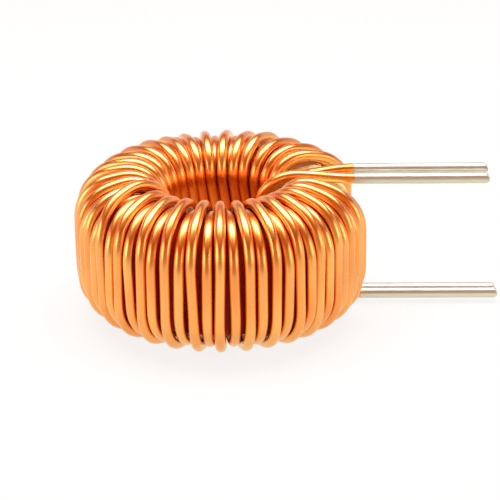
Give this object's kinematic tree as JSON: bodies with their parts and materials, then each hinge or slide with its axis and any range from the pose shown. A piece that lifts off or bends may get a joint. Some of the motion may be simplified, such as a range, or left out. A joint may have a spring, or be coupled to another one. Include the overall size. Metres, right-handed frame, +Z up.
{
  "type": "toroidal inductor",
  "caption": "Toroidal inductor: a yellow ring core wound with two enamelled copper wires side by side, with tinned wire leads running out in pairs above and below.",
  "frame": {"origin": "centre of the ring's hole, in the plane that the winding rests on", "axes": "+Z up along the ring's axis; +X along the leads, towards their tips"},
  "size_m": [0.0376, 0.0259, 0.0133],
  "materials": {
    "core_coat": "satin",
    "enamelled_copper": "gloss enamel over copper",
    "tin": "bright"
  },
  "bodies": {
    "root": {"core": "core_coat", "strand_a": "enamelled_copper", "strand_b": "enamelled_copper", "tinned_start_a": "tin", "tinned_start_b": "tin", "tinned_finish_a": "tin", "tinned_finish_b": "tin"}
  },
  "joints": []
}
